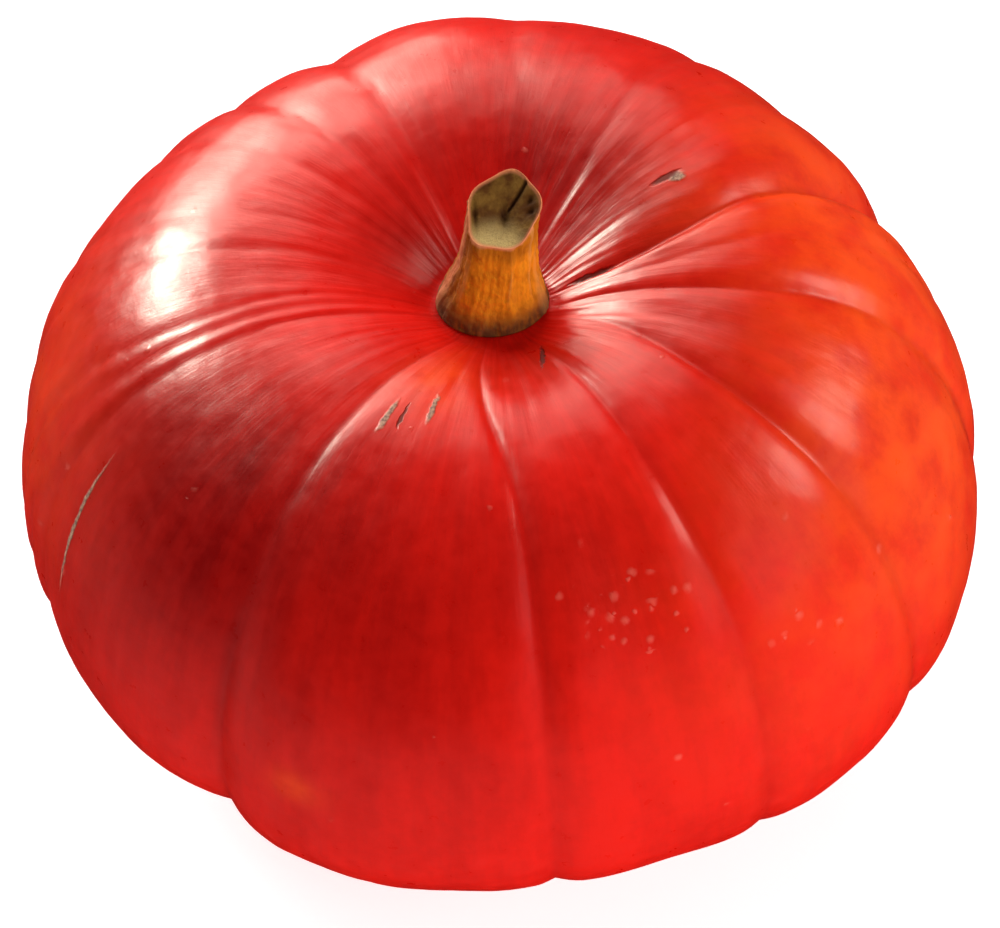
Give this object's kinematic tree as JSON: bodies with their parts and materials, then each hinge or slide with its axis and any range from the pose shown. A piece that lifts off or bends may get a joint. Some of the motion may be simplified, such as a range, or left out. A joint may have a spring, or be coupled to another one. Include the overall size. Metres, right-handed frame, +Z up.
{
  "type": "kabocha squash",
  "caption": "Whole red kabocha squash: a flattened, ribbed fruit with a glossy rind, standing on its blossom end, with a short corky stem cut at a slant.",
  "frame": {"origin": "centre of the footprint's box, on the surface the squash stands on", "axes": "+Z up along the stem; -Y is the side the picture is taken from; +X is to its right"},
  "size_m": [0.1831, 0.1842, 0.1278],
  "materials": {
    "rind": "gloss",
    "cork": "matte"
  },
  "bodies": {
    "root": {"fruit": "rind", "stem": "cork"}
  },
  "joints": []
}
